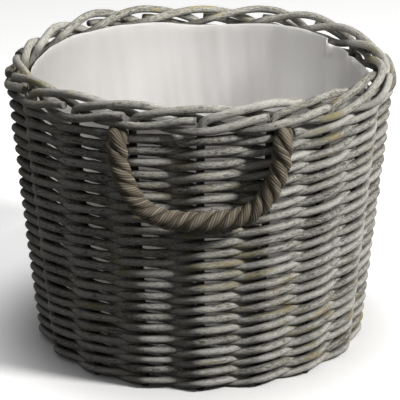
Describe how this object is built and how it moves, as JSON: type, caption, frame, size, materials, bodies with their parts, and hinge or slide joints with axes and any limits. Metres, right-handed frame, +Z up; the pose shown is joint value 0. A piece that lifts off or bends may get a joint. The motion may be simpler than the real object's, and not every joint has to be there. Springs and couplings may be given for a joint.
{
  "type": "wicker log basket",
  "caption": "Round wicker basket with twined walls, rope-like border of turned-down stakes, raised base, loose fabric liner and swinging rope handles.",
  "frame": {"origin": "on the floor at the basket's axis", "axes": "+Z up, front rope handle towards -Y, back rope handle towards +Y, +X to the right seen from the front"},
  "size_m": [0.4996, 0.5182, 0.3756],
  "materials": {
    "weaver": "weathered grey willow rod, dry and matt",
    "stake": "weathered grey willow rod with olive patches, matt",
    "base": "weathered grey willow rod, matt",
    "rope": "three-strand natural fibre rope, hairy, matt",
    "liner": "plain undyed cotton, matt"
  },
  "bodies": {
    "basket": {"weave_row_01": "weaver", "weave_row_02": "weaver", "weave_row_03": "weaver", "weave_row_04": "weaver", "weave_row_05": "weaver", "weave_row_06": "weaver", "weave_row_07": "weaver", "weave_row_08": "weaver", "weave_row_09": "weaver", "weave_row_10": "weaver", "weave_row_11": "weaver", "weave_row_12": "weaver", "weave_row_13": "weaver", "weave_row_14": "weaver", "weave_row_15": "weaver", "weave_row_16": "weaver", "weave_row_17": "weaver", "weave_row_18": "weaver", "weave_row_19": "weaver", "weave_row_20": "weaver", "weave_row_21": "weaver", "weave_row_22": "weaver", "weave_row_23": "weaver", "stake_01": "stake", "stake_02": "stake", "stake_03": "stake", "stake_04": "stake", "stake_05": "stake", "stake_06": "stake", "stake_07": "stake", "stake_08": "stake", "stake_09": "stake", "stake_10": "stake", "stake_11": "stake", "stake_12": "stake", "stake_13": "stake", "stake_14": "stake", "stake_15": "stake", "stake_16": "stake", "stake_17": "stake", "stake_18": "stake", "base_round_1": "base", "base_round_2": "base", "base_round_3": "base", "base_round_4": "base", "base_round_5": "base", "base_round_6": "base", "base_spokes": "base", "liner": "liner", "rope_end_front_left": "rope", "rope_end_front_right": "rope", "rope_end_back_left": "rope", "rope_end_back_right": "rope"},
    "handle_front": {"rope_handle_front": "rope"},
    "handle_back": {"rope_handle_back": "rope"}
  },
  "joints": [
    {"name": "front_handle_swing", "type": "hinge", "parent": "basket", "child": "handle_front", "pos_m": [0, -0.237, 0.3335], "axis": [-1, 0, 0], "range_deg": [0, 150]},
    {"name": "back_handle_swing", "type": "hinge", "parent": "basket", "child": "handle_back", "pos_m": [0, 0.237, 0.3335], "axis": [1, 0, 0], "range_deg": [0, 150]}
  ]
}
